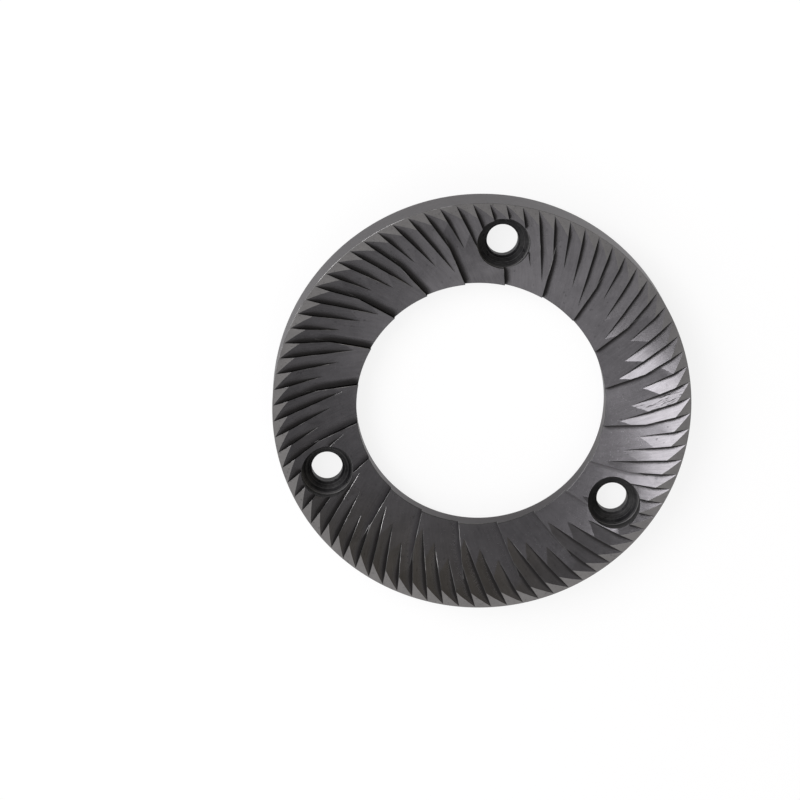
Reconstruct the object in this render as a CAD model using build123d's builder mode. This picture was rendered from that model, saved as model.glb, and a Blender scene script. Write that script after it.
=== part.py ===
"""Flat grinding burr of a coffee grinder: a hardened steel ring with ground cutting teeth.

Millimetres. The back seat lies on Z = 0, the teeth point along +Z and the axis is Z.
The first screw hole is on +Y.
"""
import os
from math import asin, degrees, radians, sqrt, tan

from build123d import *

os.makedirs("parts", exist_ok=True)

# Ring blank, relieved at the back so that it seats on its outer ring
outer_dia = 64.0
bore_dia = 38.3
height = 7.8
edge_chamfer = 0.4
relief_dia = 59.0
relief_depth = 2.0

# Screw holes for M4 countersunk screws
screw_count = 3
screw_circle_dia = 51.5
screw_clearance_dia = 4.8
head_recess_dia = 8.0
countersink_angle = 90.0
straight_land = 1.75

# Teeth: fine grooves all round, and one coarse feed groove to every four of them
coarse_count = 20
fine_per_coarse = 4
lead_from_screw = 5.5
wheel_radius = 50.0
over_face = 0.5

# Fine grooves, straight in plan, ground by a wheel that dips towards the bore
rim_land = 0.15
fine_offset = 10.25
fine_plunge = 1.9
fine_ramp_angle = 20.7

# Coarse grooves, straight in plan and nearer to radial
coarse_lag = 8.87
coarse_offset = 4.97
coarse_reach = 7.8
coarse_plunge = 3.74
coarse_ramp_angle = 12.6
coarse_width = 8.0

outer_r = outer_dia / 2
bore_r = bore_dia / 2
sink_drop = (head_recess_dia - screw_clearance_dia) / 2 / tan(radians(countersink_angle / 2))
head_seat = relief_depth + straight_land + sink_drop
fine_count = coarse_count * fine_per_coarse
fine_width = (fine_plunge + over_face) / tan(radians(fine_ramp_angle))
lead_angle = 90 + lead_from_screw
up = Vector(0, 0, 1)


def dip_half(plunge):
    """Half of the length that the wheel cuts in the tip plane at a plunge."""
    return sqrt(wheel_radius**2 - (wheel_radius - plunge) ** 2)


def wall_plane(angle, radius, offset, along):
    """Upright plane on a groove's wall, with X towards the bore, Y up and the groove behind it.

    The wall's line meets the circle of the radius at the angle and passes the axis at the offset.
    The origin is in the tip plane, a distance along that line.
    """
    inward = Vector(1, 0, 0).rotate(Axis.Z, angle + 180 + degrees(asin(offset / radius)))
    start = Vector(radius, 0, height).rotate(Axis.Z, angle)
    return Plane(origin=start + inward * along, x_dir=inward, z_dir=inward.cross(up))


def ramp_direction(wall, angle):
    """Way along the ramp, square to the wall's line in plan and rising at the angle."""
    return (up * tan(radians(angle)) - wall.z_dir).normalized()


# A fine groove runs out just inside the rim, and the wheel stands over its deepest point
fine_wall = wall_plane(lead_angle, outer_r, fine_offset, rim_land + dip_half(fine_plunge))
coarse_wall = wall_plane(lead_angle - coarse_lag, bore_r, coarse_offset, coarse_reach)

with BuildPart() as fine_groove:
    with BuildSketch(fine_wall):
        with Locations((0, wheel_radius - fine_plunge)):
            Circle(wheel_radius)
        with Locations((0, wheel_radius + over_face)):
            Rectangle(2 * wheel_radius, 2 * wheel_radius, mode=Mode.SUBTRACT)
    extrude(amount=fine_width, dir=ramp_direction(fine_wall, fine_ramp_angle))

with BuildPart() as coarse_groove:
    with BuildSketch(coarse_wall):
        with Locations((0, wheel_radius - coarse_plunge)):
            Circle(wheel_radius)
        with Locations((0, wheel_radius + over_face)):
            Rectangle(2 * wheel_radius, 2 * wheel_radius, mode=Mode.SUBTRACT)
    extrude(amount=coarse_width, dir=ramp_direction(coarse_wall, coarse_ramp_angle))

with BuildPart() as burr:
    with BuildSketch():
        Circle(outer_r)
        Circle(bore_r, mode=Mode.SUBTRACT)
    extrude(amount=height)
    with BuildSketch():
        Circle(relief_dia / 2)
    extrude(amount=relief_depth, mode=Mode.SUBTRACT)
    chamfer(burr.edges().filter_by(GeomType.CIRCLE).group_by(Axis.Z)[0], length=edge_chamfer)
    with PolarLocations(0, coarse_count):
        add(coarse_groove.part, mode=Mode.SUBTRACT)
    with PolarLocations(0, fine_count):
        add(fine_groove.part, mode=Mode.SUBTRACT)
    with Locations((0, 0, head_seat)):
        with PolarLocations(screw_circle_dia / 2, screw_count, start_angle=90):
            CounterSinkHole(screw_clearance_dia / 2, head_recess_dia / 2, height, countersink_angle)

burr.part.label = "burr"
export_step(burr.part, "parts/burr.step")
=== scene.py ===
"""Coffee grinder burr lying on its back: a turned steel ring with ground teeth, seen from above."""
from math import asin, cos, pi, radians, sin

import bmesh
import bpy
from mathutils import Matrix, Vector


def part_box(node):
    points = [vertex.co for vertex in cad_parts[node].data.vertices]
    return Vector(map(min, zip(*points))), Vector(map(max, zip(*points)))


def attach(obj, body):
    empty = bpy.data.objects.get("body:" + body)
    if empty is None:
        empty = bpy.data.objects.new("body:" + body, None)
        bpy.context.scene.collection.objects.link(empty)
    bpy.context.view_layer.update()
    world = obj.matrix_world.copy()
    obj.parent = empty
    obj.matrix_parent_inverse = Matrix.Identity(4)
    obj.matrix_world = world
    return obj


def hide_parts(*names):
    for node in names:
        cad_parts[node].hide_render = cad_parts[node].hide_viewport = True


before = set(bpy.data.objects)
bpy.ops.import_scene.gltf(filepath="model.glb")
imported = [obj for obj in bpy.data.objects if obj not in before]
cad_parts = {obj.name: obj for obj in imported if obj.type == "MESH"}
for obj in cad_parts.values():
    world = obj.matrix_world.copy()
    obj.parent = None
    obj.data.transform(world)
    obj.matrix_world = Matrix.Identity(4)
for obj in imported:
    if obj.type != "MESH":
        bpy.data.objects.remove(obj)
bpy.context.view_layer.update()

mm = 0.001

# Turned blank, relieved at the back so that it seats on its outer ring
low, high = (Vector(corner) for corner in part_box("burr"))
outer_r = (high.x - low.x) / 2
height = high.z - low.z
bore_r = 19.15 * mm
edge_chamfer = 0.4 * mm
relief_r = 29.5 * mm
relief_depth = 2.0 * mm
turning_steps = 320

# Sizes of the ground teeth and of the screw holes, as the named inputs of the grinding tree
GRINDING = {
    "Height": height,
    "Rim Radius": outer_r,
    "Bore Radius": bore_r,
    "Coarse Count": 20,
    "Fine per Coarse": 4,
    "Lead Angle": radians(95.5),
    "Wheel Radius": 50 * mm,
    "Over Face": 0.5 * mm,
    "Fine Rim Land": 0.12 * mm,
    "Fine Offset": 10.25 * mm,
    "Fine Plunge": 1.9 * mm,
    "Fine Ramp": radians(20.7),
    "Coarse Lag": radians(8.87),
    "Coarse Offset": 4.97 * mm,
    "Coarse Reach": 7.8 * mm,
    "Coarse Plunge": 3.74 * mm,
    "Coarse Ramp": radians(12.6),
    "Coarse Width": 8.0 * mm,
    "Screw Count": 3,
    "Screw Circle Radius": 25.75 * mm,
    "Screw Clearance Radius": 2.4 * mm,
    "Head Recess Radius": 4.0 * mm,
    "Head Seat": 5.35 * mm,
}

# Fineness of the cutters, and how near two points are welded on a cutter and on the ground burr
wheel_points = 25
hole_sides = 96
countersink_share = 0.75
cutter_weld = 0.001 * mm
burr_weld = 0.004 * mm

# Edges that bend outwards are broken, and those that bend inwards are the corners of the grooves
broken_edge = 0.07 * mm
broken_segments = 2
outward_bend = radians(40)
inward_bend = radians(-15)
kept_crease = radians(8)

# The breaking fades where a groove runs out, and is less on the rim
run_out = 1.2 * mm
run_out_start = 0.2
rim_share = 0.5

# A point this near the rim or a screw hole is on its edge
edge_reach = 0.02 * mm

# Kinds of facet on the finished burr, and how near a number has to be to mean one of them
TURNED, WALL, FINE_RAMP, COARSE_RAMP, SCREW_HOLE = 0.0, 1.0, 2.0, 3.0, 4.0
same_number = 0.4

# A turned face counts as a land of the teeth where its upright part of the normal is above this
land_upright = 0.8

# Finish of each kind of facet: colour where the treatment is thick, where it is rubbed, and roughness
FINISHES = {
    "turned": ((0.036, 0.035, 0.036), (0.082, 0.080, 0.081), 0.36),
    "land": ((0.120, 0.117, 0.1155), (0.222, 0.2165, 0.2135), 0.36),
    "wall": ((0.040, 0.039, 0.039), (0.085, 0.083, 0.082), 0.30),
    "fine": ((0.080, 0.0778, 0.0812), (0.155, 0.1505, 0.157), 0.22),
    "coarse": ((0.074, 0.0719, 0.0755), (0.143, 0.1388, 0.146), 0.25),
    "hole": ((0.012, 0.012, 0.013), (0.140, 0.139, 0.138), 0.45),
}
GRAZING_TINT = (0.73, 0.715, 0.725)

# Screw holes: how far their skin is dull scale and not metal, and the height of one step of the tool
hole_dullness = 0.4
tool_step = 0.5 * mm

# Painted shade: the black mixed into the grooves' colour in their corners, where the walls' shade and dark
# reflections fall, and into the torn groove's tears; the steel's sheen; how far the painted corner shade
# reaches from a wall; and how it thins toward the burr's +X side and, in the coarse grooves, toward -Y
SHADE_AND_TEAR_BLACK = (0.020, 0.019, 0.019)
scale_sheen = 0.12
corner_reach = 1.2 * mm
corner_rays = 8
corner_shade_thinning = 0.06
coarse_corner_shade_least = 0.35

# The groove that was torn by the wheel, and how black its tears are
torn_groove = 18
tear_black = 0.8

# Patterns in the skin: features a metre, and detail
PATTERNS = {
    "cloud": (330.0, 3.0),
    "mottle": (2200.0, 2.0),
    "grain": (7000.0, 2.0),
    "pits": (1700.0, 1.0),
    "rubbing": (900.0, 3.0),
    "stretches": (170.0, 1.0),
}
pattern_roughness = 0.6
pattern_gain = 4.0

# Tool marks: features a metre along and across a groove, and round and up the lathe's faces
grind_along, grind_across, grind_shift = 350.0, 4000.0, 3.7
turn_round, turn_up = 60.0, 2600.0
tear_along, tear_lean, tear_across = 500.0, 900.0, 5200.0
tear_wander, tear_place, tear_detail = 1.5, 5.0, 5.0

# Soft masks: the value at which each starts, and the value at which it is full
MASKS = {
    "tears": (0.10, 0.55),
    "pits": (0.75, 1.05),
    "speckle": (0.40, 0.85),
    "tool steps": (0.70, 1.0),
    "head seat": (0.16 * mm, 0.06 * mm),
    "head recess": (0.1 * mm, 0.4 * mm),
    # The next two masks shape the painted shade in the groove corners
    "corner": (0.93, 0.76),
    "scaled side": (-0.45, 0.10),
    "bore edge": (0.6 * mm, 0.2 * mm),
    "stretches": (0.15, 0.45),
    "warm corner": (0.40, 0.58),
    "low walls": (0.45, 0.20),
}

# A coarse groove's own tone is drawn between the numbers of the fine grooves
coarse_tone_shift = 0.5

# How far each mark moves a facet's tone, which runs from 0 for thick skin to 1 for rubbed skin
tone_middle = 0.5
TONE = {
    "cloud": 0.20,
    "mottle": 0.07,
    "grain": 0.05,
    "tool marks": 0.20,
    "own tone": 0.30,
    "speckle": -0.45,
    "land grain": 0.14,
    "hole": -0.35,
    "tool steps": 0.25,
    "head seat": 0.9,
    "head recess": 0.25,
    "pits": -0.5,
}
# How far each mark moves the roughness, and how far it stands out of the skin
# The scale mark is the painted shade in the groove corners, together with the tears
ROUGHNESS = {"grain": 0.02, "mottle": 0.02, "scale": 0.25}
RELIEF = {"tool marks": 0.3, "grain": 0.1, "mottle": 0.2, "tears": -3.0}
relief_strength = 0.10
relief_height = 0.006 * mm

# Rubbed edges: colours, and where handling has bared them
EDGE_SKIN = (0.06, 0.06, 0.06)
EDGE_BARE = (0.55, 0.545, 0.54)
rub_start_r, rub_full_r, rub_least = 29 * mm, 26 * mm, 0.1
rub_rim, rub_rim_share = 0.5 * mm, 0.7
bore_edge_loss = 0.65
rub_lean = 0.6
stretch_least = 0.15
edge_roughness, bare_roughness = 0.30, 0.08

# White floor: its size, its skin, and how much of its plain white the camera and the metal see
floor_half = 2.0
FLOOR_COLOUR = (0.98, 0.98, 0.98)
floor_roughness = 0.9
floor_sheen = 0.2
floor_white = 0.84

# The picture's upright is turned this far from the burr's first screw hole
picture_turn = radians(6.90)

# Camera at the photograph's place: millimetres and degrees
camera_place = Vector((-38.10, 108.58, 408.92)) * mm
camera_turn = (-15.432, -1.731, 6.956)
camera_lens = 123.10
camera_sensor = 36.0
camera_near = 0.01

# Light of the room by direction, in the picture's right, its up and the burr's axis
ROOM_WAYS = {
    "glow": (-0.60, -0.28, 0.75),
    "sides": (1.0, 0.0, 0.0),
    "warm corner": (0.894, 0.447, 0.0),
    "up": (0.0, 0.0, 1.0),
}
ROOM_LIGHT = {"glow": 1.0, "sides": 0.5, "low walls": 0.4}
room_lift, room_least, room_most = 0.02, 0.10, 1.02
ROOM_PLAIN = (1.0, 0.985, 1.0)
ROOM_WARM = (1.0, 0.93, 0.78)

# Soft boxes, with their directions given as the room's are: metres and watts
LAMPS = {
    "key": {
        "direction": (-0.4929, 0.4073, 0.7712),
        "along": (0.74, 0.67, 0.0),
        "distance": 0.6,
        "length": 0.321,
        "width": 0.365,
        "power": 2.10,
        "tint": (1.0, 0.985, 1.01),
    },
    "fill": {
        "direction": (0.0, -0.474, 0.88),
        "along": (1.0, 0.0, 0.0),
        "distance": 0.264,
        "length": 0.16,
        "width": 0.11,
        "power": 0.03,
        "tint": (1.0, 0.99, 0.97),
    },
}


class Value:
    """One output of a node tree. Sums, products and the like of values add Math nodes."""

    def __init__(self, tree, socket):
        self.tree = tree
        self.socket = socket

    def __getitem__(self, name):
        """Another output of the same node."""
        outputs = self.socket.node.outputs
        return Value(self.tree, next(s for s in outputs if name in (s.identifier, s.name)))

    def math(self, operation, *others):
        """A Math node with this value first."""
        return self.tree.node("ShaderNodeMath", {"operation": operation}, dict(enumerate((self, *others))))

    def flipped(self, operation, other):
        """The same with this value second."""
        return self.tree.node("ShaderNodeMath", {"operation": operation}, {0: other, 1: self})

    def clamped(self, least=0.0, most=1.0):
        """This value, held between two limits."""
        return self.math("MAXIMUM", least).math("MINIMUM", most)

    def __add__(self, other):
        return self.math("ADD", other)

    def __sub__(self, other):
        return self.math("SUBTRACT", other)

    def __mul__(self, other):
        return self.math("MULTIPLY", other)

    def __truediv__(self, other):
        return self.math("DIVIDE", other)

    def __pow__(self, other):
        return self.math("POWER", other)

    def __radd__(self, other):
        return self.flipped("ADD", other)

    def __rsub__(self, other):
        return self.flipped("SUBTRACT", other)

    def __rmul__(self, other):
        return self.flipped("MULTIPLY", other)

    def __rtruediv__(self, other):
        return self.flipped("DIVIDE", other)

    def __neg__(self):
        return self * -1


class Tree:
    """A node tree that is written as calls: each call adds a node and gives its first output."""

    def __init__(self, node_tree):
        self.node_tree = node_tree

    def node(self, kind, settings=None, inputs=None):
        """Add a node of a kind, set its settings first, then give its inputs values or links."""
        made = self.node_tree.nodes.new(kind)
        for name, value in (settings or {}).items():
            setattr(made, name, value)
        for key, value in (inputs or {}).items():
            socket = self.input_of(made, key)
            for item in value if isinstance(value, list) else [value]:
                if isinstance(item, Value):
                    self.node_tree.links.new(item.socket, socket)
                else:
                    socket.default_value = item
        shown = [socket for socket in made.outputs if socket.enabled]
        return Value(self, shown[0]) if shown else made

    @staticmethod
    def input_of(made, key):
        """An input of a node by its place, its name or its identifier."""
        if isinstance(key, int):
            return made.inputs[key]
        return next(s for s in made.inputs if s.enabled and key in (s.name, s.identifier))

    def vector(self, x=0.0, y=0.0, z=0.0):
        return self.node("ShaderNodeCombineXYZ", inputs={0: x, 1: y, 2: z})

    def mix(self, factor, first, second):
        """Blend of two colours."""
        made = self.node(
            "ShaderNodeMix",
            {"data_type": "RGBA"},
            {"Factor_Float": factor, "A_Color": first, "B_Color": second},
        )
        return made["Result_Color"]

    def link(self, value, socket):
        self.node_tree.links.new(value.socket, socket)


def put_in_scene(name, data):
    """Add an object at the origin."""
    made = bpy.data.objects.new(name, data)
    bpy.context.scene.collection.objects.link(made)
    return made


def from_axis(place):
    """Distance of a point from the burr's axis."""
    return (place["X"] * place["X"] + place["Y"] * place["Y"]) ** 0.5


def turned_blank(name):
    """The ring as it leaves the lathe, before its teeth and holes."""
    profile = [
        (bore_r, relief_depth),
        (relief_r, relief_depth),
        (relief_r, edge_chamfer),
        (relief_r + edge_chamfer, 0),
        (outer_r - edge_chamfer, 0),
        (outer_r, edge_chamfer),
        (outer_r, height),
        (bore_r, height),
    ]
    mesh = bpy.data.meshes.new(name)
    steel = bmesh.new()
    rings = []
    for step in range(turning_steps):
        turn = 2 * pi * step / turning_steps
        rings.append([steel.verts.new((r * cos(turn), r * sin(turn), z)) for r, z in profile])
    for ring, following in zip(rings, rings[1:] + rings[:1]):
        for corner in range(len(profile)):
            last = corner - 1
            steel.faces.new((ring[last], following[last], following[corner], ring[corner]))
    bmesh.ops.recalc_face_normals(steel, faces=steel.faces)
    steel.to_mesh(mesh)
    steel.free()
    return put_in_scene(name, mesh)


def marked(tree, piece, facet):
    """Mark the faces of a piece with the kind of facet that they leave on the burr."""
    return tree.node(
        "GeometryNodeStoreNamedAttribute",
        {"data_type": "FLOAT", "domain": "FACE"},
        {"Geometry": piece, "Name": "facet", "Value": facet},
    )


def moved(tree, piece, offset):
    """Move a piece by an offset."""
    return tree.node("GeometryNodeTransform", inputs={"Geometry": piece, "Translation": offset})


def wheel_cut(tree, wheel, over, plunge, ramp, width, facet):
    """What one pass of the grinding wheel takes away, on its upright wall plane.

    X runs along the groove, Y is up from the tip plane and the ramp rises behind the wall.
    """
    half = ((wheel - plunge - over) / wheel).math("ARCCOSINE")
    arc = tree.node(
        "GeometryNodeCurveArc",
        {"mode": "RADIUS"},
        {
            "Resolution": wheel_points,
            "Radius": wheel,
            "Start Angle": -half - pi / 2,
            "Sweep Angle": half * 2,
        },
    )
    closed = tree.node("GeometryNodeSetSplineCyclic", inputs={"Geometry": arc, "Cyclic": True})
    dipped = moved(tree, closed, tree.vector(y=wheel - plunge))
    wall = tree.node("GeometryNodeFillCurve", {"mode": "NGONS"}, {"Curve": dipped})
    swept = tree.node(
        "GeometryNodeExtrudeMesh",
        {"mode": "FACES"},
        {
            "Mesh": wall,
            "Offset": tree.vector(y=width * ramp.math("SINE"), z=-(width * ramp.math("COSINE"))),
            "Offset Scale": 1.0,
            "Individual": False,
        },
    )
    outward = tree.node("GeometryNodeFlipFaces", inputs={"Mesh": swept})
    sides = [marked(tree, wall, WALL), marked(tree, outward, facet)]
    joined = tree.node("GeometryNodeJoinGeometry", inputs={"Geometry": sides})
    return tree.node("GeometryNodeMergeByDistance", inputs={"Geometry": joined, "Distance": cutter_weld})


def stood_on_line(tree, cut, level, angle, radius, offset, along):
    """Stand a wheel's cut on the line from a radius and angle that passes the axis at the offset."""
    inward = angle + pi + (offset / radius).math("ARCSINE")
    x = radius * angle.math("COSINE") + along * inward.math("COSINE")
    y = radius * angle.math("SINE") + along * inward.math("SINE")
    turn = tree.node("FunctionNodeEulerToRotation", inputs={"Euler": tree.vector(pi / 2, 0.0, inward)})
    return tree.node(
        "GeometryNodeTransform",
        inputs={"Geometry": cut, "Translation": tree.vector(x, y, level), "Rotation": turn},
    )


def around_axis(tree, piece, count):
    """Repeat a piece evenly around the axis."""
    index = tree.node("GeometryNodeInputIndex")
    turn = tree.node(
        "FunctionNodeEulerToRotation", inputs={"Euler": tree.vector(0.0, 0.0, index * (2 * pi) / count)}
    )
    points = tree.node("GeometryNodePoints", inputs={"Count": count})
    return tree.node(
        "GeometryNodeInstanceOnPoints", inputs={"Points": points, "Instance": piece, "Rotation": turn}
    )


def screw_hole(tree, level, clearance, recess, seat):
    """Clearance hole, countersink and head recess, as three plain cutters on the axis."""
    through = tree.node(
        "GeometryNodeMeshCylinder",
        inputs={"Vertices": hole_sides, "Radius": clearance, "Depth": level * 4},
    )
    drop = recess * countersink_share
    sink = tree.node(
        "GeometryNodeMeshCone",
        inputs={
            "Vertices": hole_sides,
            "Radius Top": recess,
            "Radius Bottom": recess - drop,
            "Depth": drop,
        },
    )
    sink = moved(tree, sink, tree.vector(z=seat - drop))
    head = tree.node(
        "GeometryNodeMeshCylinder",
        inputs={"Vertices": hole_sides, "Radius": recess, "Depth": level},
    )
    head = moved(tree, head, tree.vector(z=seat + level / 2))
    return [through, sink, head]


def from_screw_hole(place):
    """Distance of a point from the axis of the nearest screw hole, in plan."""
    radius = from_axis(place)
    turn = place["X"].math("ARCTAN2", place["Y"])
    step = 2 * pi / GRINDING["Screw Count"]
    turn = turn - (turn / step).math("ROUND") * step
    aside = radius * turn.math("SINE")
    out = radius * turn.math("COSINE") - GRINDING["Screw Circle Radius"]
    return (aside * aside + out * out) ** 0.5


def broken_edges(tree, steel, rim):
    """Weigh the edges for breaking: the outward ones that have room for it.

    It fades where a groove runs out at the rim and where a corner lies close under the edge, and the
    screw holes keep their sharp rims.
    """
    bend = tree.node("GeometryNodeInputMeshEdgeAngle")["Signed Angle"]
    place = tree.node("ShaderNodeSeparateXYZ", inputs={0: tree.node("GeometryNodeInputPosition")})
    radius = from_axis(place)
    inside = ((rim - radius) / run_out - run_out_start).clamped()
    on_rim = radius.math("GREATER_THAN", rim - edge_reach) * rim_share
    corners = tree.node(
        "GeometryNodeSeparateGeometry",
        {"domain": "EDGE"},
        {"Geometry": steel, "Selection": bend.math("LESS_THAN", inward_bend)},
    )
    nearest = tree.node("GeometryNodeProximity", {"target_element": "EDGES"}, {"Target": corners})
    room = (nearest["Distance"] / broken_edge * 2 - 1).clamped()
    on_hole = from_screw_hole(place).math("LESS_THAN", GRINDING["Head Recess Radius"] + edge_reach)
    outward = bend.math("GREATER_THAN", outward_bend)
    weight = outward * inside.math("MAXIMUM", on_rim) * room * (1 - on_hole)
    return tree.node(
        "GeometryNodeStoreNamedAttribute",
        {"data_type": "FLOAT", "domain": "EDGE"},
        {"Geometry": steel, "Name": "bevel_weight_edge", "Value": weight},
    )


def grinding_tree(name, steel):
    """Tree that grinds the teeth into a turned blank and bores its screw holes."""
    group = bpy.data.node_groups.new(name, "GeometryNodeTree")
    group.interface.new_socket("Geometry", in_out="OUTPUT", socket_type="NodeSocketGeometry")
    group.interface.new_socket("Geometry", in_out="INPUT", socket_type="NodeSocketGeometry")
    for label, value in GRINDING.items():
        kind = "NodeSocketInt" if isinstance(value, int) else "NodeSocketFloat"
        group.interface.new_socket(label, in_out="INPUT", socket_type=kind)
    tree = Tree(group)
    blank = tree.node("NodeGroupInput")
    size = {label: blank[label] for label in GRINDING}
    level, wheel, over = size["Height"], size["Wheel Radius"], size["Over Face"]

    fine_plunge = size["Fine Plunge"]
    fine_width = (fine_plunge + over) / size["Fine Ramp"].math("TANGENT")
    dip_half = (wheel**2 - (wheel - fine_plunge) ** 2) ** 0.5
    fine = wheel_cut(tree, wheel, over, fine_plunge, size["Fine Ramp"], fine_width, FINE_RAMP)
    fine = stood_on_line(
        tree, fine, level, size["Lead Angle"], size["Rim Radius"], size["Fine Offset"],
        size["Fine Rim Land"] + dip_half,
    )
    coarse = wheel_cut(
        tree, wheel, over, size["Coarse Plunge"], size["Coarse Ramp"], size["Coarse Width"], COARSE_RAMP
    )
    coarse = stood_on_line(
        tree, coarse, level, size["Lead Angle"] - size["Coarse Lag"], size["Bore Radius"],
        size["Coarse Offset"], size["Coarse Reach"],
    )
    holes = []
    for cutter in screw_hole(
        tree, level, size["Screw Clearance Radius"], size["Head Recess Radius"], size["Head Seat"]
    ):
        placed = moved(tree, marked(tree, cutter, SCREW_HOLE), tree.vector(y=size["Screw Circle Radius"]))
        holes.append(around_axis(tree, placed, size["Screw Count"]))
    grooves = [
        around_axis(tree, coarse, size["Coarse Count"]),
        around_axis(tree, fine, size["Coarse Count"] * size["Fine per Coarse"]),
    ]
    ground = tree.node(
        "GeometryNodeMeshBoolean",
        {"operation": "DIFFERENCE", "solver": "MANIFOLD"},
        {"Mesh 1": marked(tree, blank, TURNED), "Mesh 2": grooves + holes},
    )
    clean = tree.node("GeometryNodeMergeByDistance", inputs={"Geometry": ground, "Distance": burr_weld})
    broken = broken_edges(tree, clean, size["Rim Radius"])
    plain = tree.node("GeometryNodeRealizeInstances", inputs={"Geometry": broken})
    dressed = tree.node("GeometryNodeSetMaterial", inputs={"Geometry": plain, "Material": steel})
    tree.node("NodeGroupOutput", inputs={"Geometry": dressed})
    return group


def made_plain(piece):
    """Turn a piece and its modifiers into a plain mesh."""
    depsgraph = bpy.context.evaluated_depsgraph_get()
    mesh = bpy.data.meshes.new_from_object(piece.evaluated_get(depsgraph))
    piece.modifiers.clear()
    piece.data = mesh
    return mesh


def ground_burr(name, steel, rubbed):
    """The whole burr as one plain mesh: turned, ground, and its sharp edges broken."""
    burr = turned_blank(name)
    group = grinding_tree("ground_teeth", steel)
    grinding = burr.modifiers.new("grinding", "NODES")
    grinding.node_group = group
    for socket in group.interface.items_tree:
        if socket.in_out == "INPUT" and socket.name in GRINDING:
            grinding[socket.identifier] = GRINDING[socket.name]
    mesh = made_plain(burr)
    mesh.materials.append(rubbed)
    edges = burr.modifiers.new("broken_edges", "BEVEL")
    edges.width = broken_edge
    edges.segments = broken_segments
    edges.limit_method = "WEIGHT"
    edges.use_clamp_overlap = False
    edges.material = mesh.materials.find(rubbed.name)
    mesh = made_plain(burr)
    mesh.shade_smooth()
    mesh.set_sharp_from_angle(angle=kept_crease)
    shading = burr.modifiers.new("even_shading", "WEIGHTED_NORMAL")
    shading.keep_sharp = True
    made_plain(burr).name = name
    return burr


def new_material(name):
    """A new material, its node tree and its shader."""
    material = bpy.data.materials.new(name)
    material.use_nodes = True
    return material, Tree(material.node_tree), material.node_tree.nodes["Principled BSDF"]


def groove_frame(place, count, offset, line_angle):
    """Distance along and across the groove that a point is in, and the groove's number.

    All lines of one groove family pass the axis at the offset; the first leans at the line angle.
    """
    radius = from_axis(place)
    angle = place["Y"].math("ARCTAN2", place["X"])
    step = 2 * pi / count
    number = ((line_angle - angle - (offset / radius).math("ARCSINE")) / step).math("FLOOR")
    turned_back = angle + number * step - line_angle
    along = radius * turned_back.math("COSINE")
    across = radius * turned_back.math("SINE")
    return along, across, number.math("FLOORED_MODULO", count)


def noise(vector, scale=1.0, detail=3.0):
    """Noise around zero, mostly within one unit to each side."""
    made = vector.tree.node(
        "ShaderNodeTexNoise",
        inputs={"Vector": vector, "Scale": scale, "Detail": detail, "Roughness": pattern_roughness},
    )
    return (made["Fac"] - 0.5) * pattern_gain


def masked(value, mask):
    """Soft step from nothing to one between the two limits of a mask."""
    start, full = MASKS[mask]
    return value.tree.node(
        "ShaderNodeMapRange",
        {"interpolation_type": "SMOOTHSTEP"},
        {"Value": value, "From Min": start, "From Max": full},
    )


def weighed(start, marks, shares):
    """The start, moved by each mark as far as its share says."""
    for mark, share in shares.items():
        start = start + marks[mark] * share
    return start


def own_tone(number):
    """A fixed random tone for each groove, half a unit to each side of zero."""
    random = number.tree.node("ShaderNodeTexWhiteNoise", {"noise_dimensions": "1D"}, {"W": number})
    return random["Value"] - 0.5


def facet_kinds(tree):
    """One mask for each kind of finish."""
    facet = tree.node("ShaderNodeAttribute", {"attribute_name": "facet"})["Fac"]
    normal = tree.node("ShaderNodeNewGeometry")["Normal"]
    lie = tree.node("ShaderNodeSeparateXYZ", inputs={0: normal})["Z"]
    upright = lie.math("GREATER_THAN", land_upright)
    turned, wall, fine, coarse, hole = (
        facet.math("COMPARE", kind, same_number)
        for kind in (TURNED, WALL, FINE_RAMP, COARSE_RAMP, SCREW_HOLE)
    )
    return {
        "turned": turned * (1 - upright),
        "land": turned * upright,
        "wall": wall,
        "fine": fine,
        "coarse": coarse,
        "hole": hole,
    }


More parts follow.
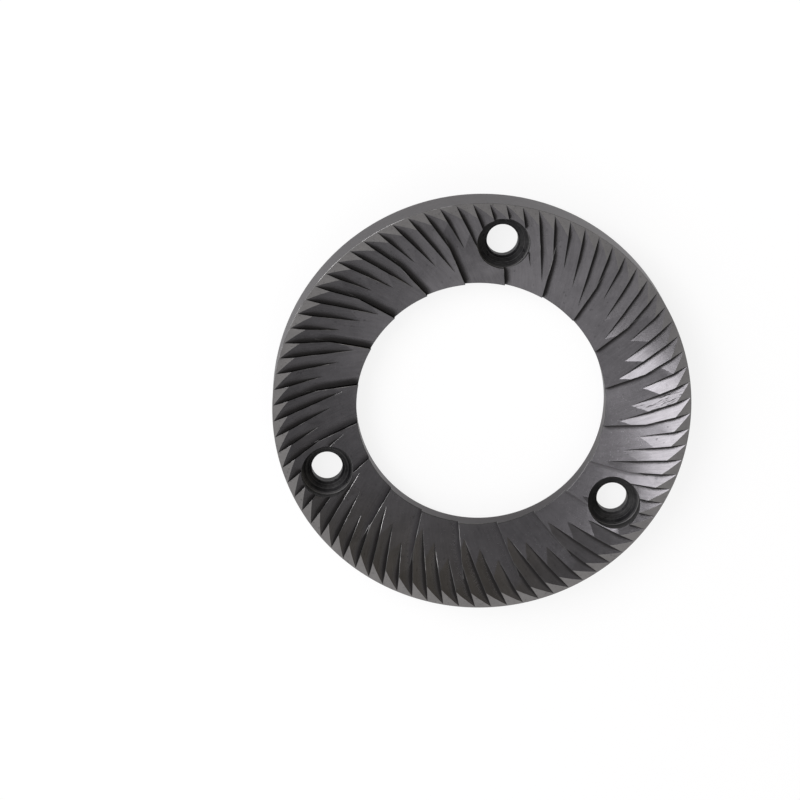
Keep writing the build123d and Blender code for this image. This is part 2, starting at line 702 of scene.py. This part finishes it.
def treated_steel():
    """Dark heat treated steel: ground grooves with a satin gloss and painted shade in their corners, and
    rubbed, lighter lands.
    """
    material, tree, shader = new_material("treated_steel")
    place = tree.node("ShaderNodeTexCoord")["Object"]
    axes = tree.node("ShaderNodeSeparateXYZ", inputs={0: place})
    radius = from_axis(axes)
    kinds = facet_kinds(tree)
    cloud, mottle, grain, dots = (
        noise(place, *PATTERNS[pattern]) for pattern in ("cloud", "mottle", "grain", "pits")
    )

    # Grinding marks run along each groove, and every groove differs a little
    grooves = {
        "fine": groove_frame(
            axes, GRINDING["Coarse Count"] * GRINDING["Fine per Coarse"], GRINDING["Fine Offset"],
            GRINDING["Lead Angle"] + asin(GRINDING["Fine Offset"] / outer_r),
        ),
        "coarse": groove_frame(
            axes, GRINDING["Coarse Count"], GRINDING["Coarse Offset"],
            GRINDING["Lead Angle"] - GRINDING["Coarse Lag"] + asin(GRINDING["Coarse Offset"] / bore_r),
        ),
    }
    ground = {
        kind: noise(tree.vector(along * grind_along, across * grind_across, number * grind_shift))
        for kind, (along, across, number) in grooves.items()
    }
    # Turning marks run round the axis on the lathe's faces and in the screw holes
    rings = noise(tree.vector(axes["X"] * turn_round, axes["Y"] * turn_round, axes["Z"] * turn_up))
    lines = (
        ground["fine"] * kinds["fine"]
        + ground["coarse"] * kinds["coarse"]
        + rings * (kinds["turned"] + kinds["hole"])
    )
    # One groove was torn by the wheel
    along, across, number = grooves["fine"]
    torn = kinds["fine"] * number.math("COMPARE", torn_groove, same_number)
    streaks = tree.vector(
        along * tear_along + across * tear_lean, across * tear_across + cloud * tear_wander, tear_place
    )
    tears = masked(noise(streaks, detail=tear_detail), "tears") * torn

    # Painted shade: black is mixed into the grooves' colour in their corners, where the walls' shade and
    # dark reflections fall. It is thinner toward the burr's +X side and, in the coarse grooves, toward -Y.
    # The torn groove's tears add their own black
    open_air = tree.node(
        "ShaderNodeAmbientOcclusion",
        {"samples": corner_rays, "only_local": True},
        {"Distance": corner_reach},
    )["AO"]
    corner = masked(open_air + axes["X"] / radius * corner_shade_thinning, "corner")
    coarse_shade_side = masked(axes["Y"] / radius, "scaled side")
    coarse_corner_shade = coarse_corner_shade_least + coarse_shade_side * (1 - coarse_corner_shade_least)
    corner_shade_and_tears = corner * (kinds["fine"] + kinds["coarse"] * coarse_corner_shade)
    corner_shade_and_tears = corner_shade_and_tears.math("MAXIMUM", tears * tear_black)

    # Screw holes have steps left by the tool and a light ring where the head seats
    from_seat = axes["Z"] - GRINDING["Head Seat"]
    tool_wave = (axes["Z"] * (2 * pi / tool_step)).math("SINE")
    coarse_number = grooves["coarse"][2] + coarse_tone_shift
    marks = {
        "cloud": cloud,
        "mottle": mottle,
        "grain": grain,
        "tool marks": lines,
        "own tone": kinds["fine"] * own_tone(number) + kinds["coarse"] * own_tone(coarse_number),
        "speckle": masked(mottle, "speckle") * kinds["land"],
        "land grain": grain * kinds["land"],
        "hole": kinds["hole"],
        "tool steps": masked(tool_wave, "tool steps") * kinds["hole"],
        "head seat": masked(from_seat.math("ABSOLUTE"), "head seat") * kinds["hole"],
        "head recess": masked(from_seat, "head recess") * kinds["hole"],
        "pits": masked(dots, "pits"),
        "tears": tears,
        # The scale mark: painted shade in the groove corners, with the tears
        "scale": corner_shade_and_tears,
    }
    tone = weighed(tone_middle, marks, TONE).clamped()
    colour, roughness = None, 0.0
    for kind, (thick, rubbed, gloss) in FINISHES.items():
        shade = tree.mix(tone, (*thick, 1), (*rubbed, 1))
        colour = shade if colour is None else tree.mix(kinds[kind], colour, shade)
        roughness = kinds[kind] * gloss + roughness
    bump = tree.node(
        "ShaderNodeBump",
        inputs={
            "Strength": relief_strength,
            "Distance": relief_height,
            "Height": weighed(0.0, marks, RELIEF),
        },
    )
    # Painted shade in the groove corners, and the tears, darken the colour toward black and take away some
    # of the metal
    tree.link(tree.mix(corner_shade_and_tears, colour, (*SHADE_AND_TEAR_BLACK, 1)), shader.inputs["Base Color"])
    tree.link(weighed(roughness, marks, ROUGHNESS), shader.inputs["Roughness"])
    tree.link(1 - corner_shade_and_tears - kinds["hole"] * hole_dullness, shader.inputs["Metallic"])
    tree.link(bump, shader.inputs["Normal"])
    shader.inputs["Specular IOR Level"].default_value = scale_sheen
    shader.inputs["Specular Tint"].default_value = (*GRAZING_TINT, 1)
    return material


def rubbed_edge():
    """Bare steel where handling has rubbed the skin off an edge, in stretches and mostly on one side."""
    material, tree, shader = new_material("rubbed_edge")
    place = tree.node("ShaderNodeTexCoord")["Object"]
    axes = tree.node("ShaderNodeSeparateXYZ", inputs={0: place})
    radius = from_axis(axes)
    inner = tree.node(
        "ShaderNodeMapRange",
        inputs={
            "Value": radius,
            "From Min": rub_start_r,
            "From Max": rub_full_r,
            "To Min": rub_least,
            "To Max": 1.0,
        },
    )
    rim = radius.math("GREATER_THAN", outer_r - rub_rim) * rub_rim_share
    at_bore = masked(radius - bore_r, "bore edge")
    rubbing = inner.math("MAXIMUM", rim) * (1 - at_bore * bore_edge_loss)
    stretches = noise(place, *PATTERNS["stretches"]) - axes["X"] / radius * rub_lean
    stretch = stretch_least + masked(stretches, "stretches") * (1 - stretch_least)
    worn = (0.5 + noise(place, *PATTERNS["rubbing"]) * 0.5).clamped() * rubbing * stretch
    tree.link(tree.mix(worn, (*EDGE_SKIN, 1), (*EDGE_BARE, 1)), shader.inputs["Base Color"])
    tree.link(edge_roughness + worn * bare_roughness, shader.inputs["Roughness"])
    shader.inputs["Metallic"].default_value = 1.0
    return material


def pale_floor():
    """Plain white floor that keeps the burr's soft shadow."""
    mesh = bpy.data.meshes.new("floor")
    corners = [(-1, -1), (1, -1), (1, 1), (-1, 1)]
    mesh.from_pydata([(x * floor_half, y * floor_half, 0) for x, y in corners], [], [(0, 1, 2, 3)])
    material, tree, shader = new_material("white_floor")
    shader.inputs["Base Color"].default_value = (*FLOOR_COLOUR, 1)
    shader.inputs["Roughness"].default_value = floor_roughness
    shader.inputs["Specular IOR Level"].default_value = floor_sheen
    path = tree.node("ShaderNodeLightPath")
    seen = path["Is Camera Ray"] + path["Is Glossy Ray"] + path["Is Transmission Ray"]
    white = tree.node("ShaderNodeEmission", inputs={"Color": (1, 1, 1, 1), "Strength": 1.0})
    surface = tree.node(
        "ShaderNodeMixShader",
        inputs={0: seen.math("MINIMUM", 1.0) * floor_white, 1: Value(tree, shader.outputs[0]), 2: white},
    )
    tree.link(surface, material.node_tree.nodes["Material Output"].inputs["Surface"])
    mesh.materials.append(material)
    put_in_scene("floor", mesh)


def from_picture(way):
    """Direction given by the picture's right, its up and the burr's axis."""
    return Matrix.Rotation(picture_turn, 3, "Z") @ Vector(way).normalized()


def soft_box(name, direction, along, distance, length, width, power, tint):
    """A soft box that points at the burr, with its length turned along a direction."""
    lamp = bpy.data.lights.new(name, "AREA")
    lamp.shape = "RECTANGLE"
    lamp.size = length
    lamp.size_y = width
    lamp.energy = power
    lamp.color = tint
    back = from_picture(direction)
    across = back.cross(from_picture(along)).normalized()
    box = put_in_scene(name, lamp)
    box.location = back * distance
    box.rotation_euler = Matrix((across.cross(back), across, back)).transposed().to_euler()


def lit_room():
    """Room with a glow in one direction, pale walls to both sides and low down, and a warm corner."""
    world = bpy.data.worlds.new("room")
    world.use_nodes = True
    tree = Tree(world.node_tree)
    toward = tree.node("ShaderNodeTexCoord")["Generated"]
    facing = {
        name: tree.node(
            "ShaderNodeVectorMath", {"operation": "DOT_PRODUCT"}, {0: toward, 1: from_picture(way)}
        )["Value"]
        for name, way in ROOM_WAYS.items()
    }
    marks = {
        "glow": facing["glow"],
        "sides": facing["sides"] ** 2,
        "low walls": masked(facing["up"], "low walls"),
    }
    level = weighed(room_lift, marks, ROOM_LIGHT).clamped(room_least, room_most)
    warmth = masked(facing["warm corner"], "warm corner")
    light = world.node_tree.nodes["Background"]
    tree.link(tree.mix(warmth, (*ROOM_PLAIN, 1), (*ROOM_WARM, 1)), light.inputs["Color"])
    tree.link(level, light.inputs["Strength"])
    bpy.context.scene.world = world


def studio():
    """Camera at the photograph's place and soft boxes in a softly lit room."""
    lens = bpy.data.cameras.new("camera")
    lens.lens = camera_lens
    lens.sensor_width = camera_sensor
    lens.clip_start = camera_near
    camera = put_in_scene("camera", lens)
    camera.location = camera_place
    camera.rotation_euler = [radians(turn) for turn in camera_turn]
    scene = bpy.context.scene
    scene.camera = camera
    scene.view_settings.view_transform = "Standard"
    lit_room()
    for name, lamp in LAMPS.items():
        soft_box(name, **lamp)


burr = ground_burr("ground_burr", treated_steel(), rubbed_edge())
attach(burr, "root")
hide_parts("burr")
pale_floor()
studio()
